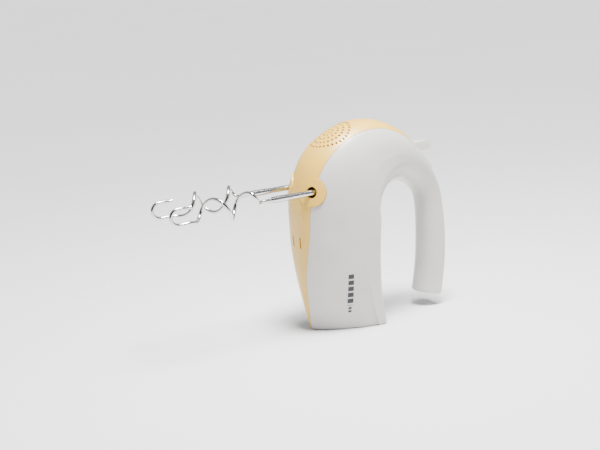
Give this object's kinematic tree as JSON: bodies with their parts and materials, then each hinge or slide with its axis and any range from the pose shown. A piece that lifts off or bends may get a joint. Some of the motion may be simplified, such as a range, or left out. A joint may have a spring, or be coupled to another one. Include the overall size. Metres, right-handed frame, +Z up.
{
  "type": "hand mixer",
  "caption": "Hand mixer standing on its heel: U-shaped body with open-ended handle, cream front cover with air grille, eject button, speed slider and two spiral wire dough hooks.",
  "frame": {"origin": "centre of the flat heel that the mixer stands on", "axes": "+Z up from the heel to the nose, +X towards the handle, hooks point along -X, the middle plane is y = 0 and the left side (negative Y) faces the picture"},
  "size_m": [0.2891, 0.0802, 0.19],
  "materials": {
    "white_shell": "satin moulded ABS",
    "cream_shell": "satin moulded ABS",
    "white_control": "glossy",
    "grey_control": "matte",
    "chromed_steel": "bright chrome",
    "black_nylon": "matte",
    "grey_rubber": "matte",
    "natural_nylon": "matte",
    "steel": "ground",
    "lamination": "stacked sheet",
    "copper": "enamelled wire",
    "brass": "drawn",
    "bronze": "sintered",
    "carbon": "matte"
  },
  "bodies": {
    "housing": {"left_housing": "white_shell", "right_housing": "white_shell", "front_cover": "cream_shell", "housing_screws": "steel", "cord_grommet": "grey_rubber", "terminal_block": "natural_nylon", "suppressor_capacitor": "black_nylon", "gearbox_frame": "natural_nylon", "spindle_bushes": "bronze", "stator_core": "lamination", "field_coils": "copper", "lower_bearing": "bronze", "middle_bearing": "bronze", "top_bearing": "bronze", "motor_bracket": "natural_nylon", "motor_bolts": "steel", "carbon_brushes": "carbon", "brush_holders": "brass", "brush_springs": "steel", "ejector_guide": "natural_nylon", "ejector_spring": "steel", "switch_body": "black_nylon", "switch_contacts": "brass"},
    "rotor": {"motor_shaft": "steel", "drive_worm": "steel", "cooling_fan": "natural_nylon", "armature_core": "lamination", "armature_windings": "copper", "commutator": "copper"},
    "left_drive": {"left_worm_wheel": "natural_nylon", "left_spindle": "black_nylon"},
    "right_drive": {"right_worm_wheel": "natural_nylon", "right_spindle": "black_nylon"},
    "left_hook": {"left_hook_shaft": "chromed_steel", "left_hook_sleeve": "chromed_steel", "left_hook_wire": "chromed_steel"},
    "right_hook": {"right_hook_shaft": "chromed_steel", "right_hook_sleeve": "chromed_steel", "right_hook_wire": "chromed_steel"},
    "ejector": {"eject_button": "white_control", "ejector_fork": "natural_nylon"},
    "speed_control": {"speed_slider": "grey_control", "switch_carriage": "black_nylon"}
  },
  "joints": [
    {"name": "motor_spin", "type": "hinge", "parent": "housing", "child": "rotor", "pos_m": [-0.001, 0, 0.1335], "axis": [0, 0, 1], "continuous": true},
    {"name": "left_hook_spin", "type": "hinge", "parent": "housing", "child": "left_drive", "pos_m": [-0.001, -0.02, 0.1335], "axis": [1, 0, 0], "continuous": true},
    {"name": "right_hook_spin", "type": "hinge", "parent": "housing", "child": "right_drive", "pos_m": [-0.001, 0.02, 0.1335], "axis": [1, 0, 0], "continuous": true},
    {"name": "left_hook_eject", "type": "slide", "parent": "left_drive", "child": "left_hook", "axis": [-1, 0, 0], "range_m": [0, 0.006]},
    {"name": "right_hook_eject", "type": "slide", "parent": "right_drive", "child": "right_hook", "axis": [-1, 0, 0], "range_m": [0, 0.006]},
    {"name": "eject_push", "type": "slide", "parent": "housing", "child": "ejector", "axis": [-1, 0, 0], "range_m": [0, 0.006], "stiffness_N_per_m": 700, "springref_m": -0.004, "deforming": ["ejector_spring"]},
    {"name": "speed_slide", "type": "slide", "parent": "housing", "child": "speed_control", "axis": [0.4602, 0, -0.8878], "range_m": [0, 0.012]}
  ],
  "couplings": [
    {"joint": "left_hook_spin", "follows": "motor_spin", "ratio": -0.076923},
    {"joint": "right_hook_spin", "follows": "motor_spin", "ratio": 0.076923},
    {"joint": "left_hook_eject", "follows": "eject_push", "ratio": 1},
    {"joint": "right_hook_eject", "follows": "eject_push", "ratio": 1}
  ]
}
